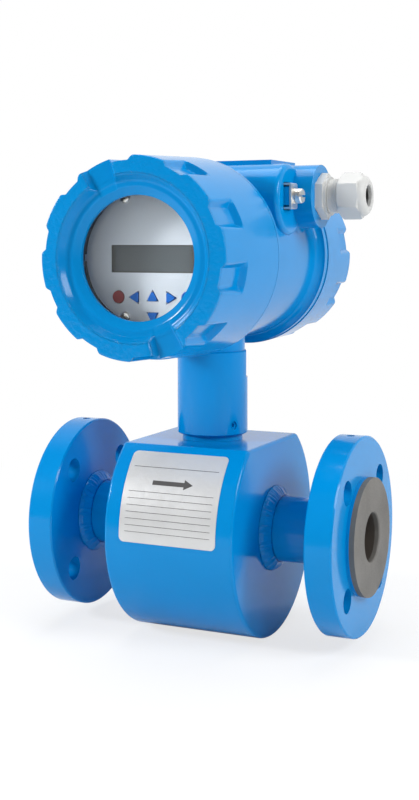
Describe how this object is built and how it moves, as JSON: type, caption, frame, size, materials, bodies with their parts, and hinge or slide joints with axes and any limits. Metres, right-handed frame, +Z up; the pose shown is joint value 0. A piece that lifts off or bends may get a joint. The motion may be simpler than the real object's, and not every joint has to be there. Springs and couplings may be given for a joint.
{
  "type": "electromagnetic flow meter",
  "caption": "Flanged electromagnetic flow meter: a lined tube in a flat-topped coil drum, with a transmitter head on a neck, screwed covers, a window, a cable gland and an earth clamp.",
  "frame": {"origin": "on the pipe axis, midway between the flange faces, straight below the neck's axis", "axes": "+X along the pipe in the flow direction, +Z up along the neck, -Y to the display"},
  "size_m": [0.2, 0.2022, 0.2816],
  "materials": {
    "blue_paint": "gloss sky-blue paint over steel and cast aluminium",
    "hard_rubber": "matt dark grey hard rubber, ground on the sealing faces",
    "steel": "bare steel",
    "copper": "enamelled copper winding",
    "nickel": "nickel-plated brass and steel",
    "insulator": "cream insulating plastic",
    "label_foil": "silver-white foil",
    "black_rubber": "soft black rubber",
    "grey_plastic": "light grey polyamide",
    "plate_white": "silver-white front foil",
    "lcd_dark": "dark grey display glass",
    "key_blue": "blue key cap",
    "key_red": "red key cap",
    "board_green": "green solder mask",
    "black_plastic": "black plastic",
    "terminal_grey": "dark grey plastic",
    "window": "clear pane"
  },
  "bodies": {
    "sensor": {"measuring_tube": "blue_paint", "inlet_flange": "blue_paint", "outlet_flange": "blue_paint", "rubber_liner": "hard_rubber", "inlet_liner_face": "hard_rubber", "outlet_liner_face": "hard_rubber", "housing_shell": "blue_paint", "inlet_end_plate": "blue_paint", "outlet_end_plate": "blue_paint", "neck_stub": "steel", "rating_label": "label_foil", "upper_pole": "steel", "lower_pole": "steel", "upper_coil": "copper", "lower_coil": "copper", "return_yoke": "steel", "front_electrode": "steel", "rear_electrode": "steel", "front_electrode_bush": "insulator", "rear_electrode_bush": "insulator", "neck_seal": "black_rubber"},
    "head": {"neck_tube": "blue_paint", "neck_set_screw": "steel", "head_housing": "blue_paint", "display_standoffs": "nickel", "electronics_module": "black_plastic", "display_board": "board_green", "display_plate": "plate_white", "display_screws": "nickel", "lcd_module": "lcd_dark", "terminal_block": "terminal_grey", "terminal_screws": "nickel", "gland_body": "grey_plastic", "blanking_plug": "nickel"},
    "front_cover_travel": {"front_cover_seal": "black_rubber"},
    "front_cover_turn": {"front_cover": "blue_paint", "window_glass": "window", "window_ring": "black_plastic"},
    "rear_cover_travel": {"rear_cover_seal": "black_rubber"},
    "rear_cover_turn": {"rear_cover": "blue_paint"},
    "gland_travel": {"gland_seal": "black_rubber"},
    "gland_nut_turn": {"gland_nut": "grey_plastic"},
    "earth_clamp": {"earth_saddle": "nickel", "earth_washer": "nickel"},
    "earth_screw_turn": {"earth_screw": "nickel"},
    "escape_key_body": {"escape_key": "key_red"},
    "left_key_body": {"left_key": "key_blue"},
    "up_key_body": {"up_key": "key_blue"},
    "right_key_body": {"right_key": "key_blue"},
    "down_key_body": {"down_key": "key_blue"},
    "enter_key_body": {"enter_key": "key_blue"}
  },
  "joints": [
    {"name": "head_swivel", "type": "hinge", "parent": "sensor", "child": "head", "pos_m": [0, 0, 0.08], "axis": [0, 0, 1], "range_deg": [-175, 175]},
    {"name": "front_cover_slide", "type": "slide", "parent": "head", "child": "front_cover_travel", "axis": [0, -1, 0], "range_m": [0, 0.0121]},
    {"name": "front_cover_screw", "type": "hinge", "parent": "front_cover_travel", "child": "front_cover_turn", "pos_m": [0, -0.07, 0.1604], "axis": [0, -1, 0], "range_deg": [0, 2880]},
    {"name": "rear_cover_slide", "type": "slide", "parent": "head", "child": "rear_cover_travel", "axis": [0, 1, 0], "range_m": [0, 0.0121]},
    {"name": "rear_cover_screw", "type": "hinge", "parent": "rear_cover_travel", "child": "rear_cover_turn", "pos_m": [0, 0.07, 0.1604], "axis": [0, 1, 0], "range_deg": [0, 2880]},
    {"name": "gland_seal_slide", "type": "slide", "parent": "head", "child": "gland_travel", "axis": [1, 0, 0], "range_m": [0, 0.0061]},
    {"name": "gland_nut_screw", "type": "hinge", "parent": "gland_travel", "child": "gland_nut_turn", "pos_m": [0.062, 0.02, 0.1957], "axis": [1, 0, 0], "range_deg": [0, 1440]},
    {"name": "earth_clamp_slide", "type": "slide", "parent": "head", "child": "earth_clamp", "axis": [1, 0, 0], "range_m": [0, 0.0024]},
    {"name": "earth_screw_turn_joint", "type": "hinge", "parent": "earth_clamp", "child": "earth_screw_turn", "pos_m": [0.0534, -0.007, 0.19525], "axis": [1, 0, 0], "range_deg": [0, 1095]},
    {"name": "escape_press", "type": "slide", "parent": "head", "child": "escape_key_body", "axis": [0, 1, 0], "range_m": [0, 0.0005], "stiffness_N_per_m": 400},
    {"name": "left_press", "type": "slide", "parent": "head", "child": "left_key_body", "axis": [0, 1, 0], "range_m": [0, 0.0005], "stiffness_N_per_m": 400},
    {"name": "up_press", "type": "slide", "parent": "head", "child": "up_key_body", "axis": [0, 1, 0], "range_m": [0, 0.0005], "stiffness_N_per_m": 400},
    {"name": "right_press", "type": "slide", "parent": "head", "child": "right_key_body", "axis": [0, 1, 0], "range_m": [0, 0.0005], "stiffness_N_per_m": 400},
    {"name": "down_press", "type": "slide", "parent": "head", "child": "down_key_body", "axis": [0, 1, 0], "range_m": [0, 0.0005], "stiffness_N_per_m": 400},
    {"name": "enter_press", "type": "slide", "parent": "head", "child": "enter_key_body", "axis": [0, 1, 0], "range_m": [0, 0.0005], "stiffness_N_per_m": 400}
  ],
  "couplings": [
    {"joint": "front_cover_slide", "follows": "front_cover_screw", "m_per_rad": 0.00023873},
    {"joint": "rear_cover_slide", "follows": "rear_cover_screw", "m_per_rad": 0.00023873},
    {"joint": "gland_seal_slide", "follows": "gland_nut_screw", "m_per_rad": 0.00023873},
    {"joint": "earth_screw_turn_joint", "follows": "earth_clamp_slide", "rad_per_m": 7854}
  ]
}
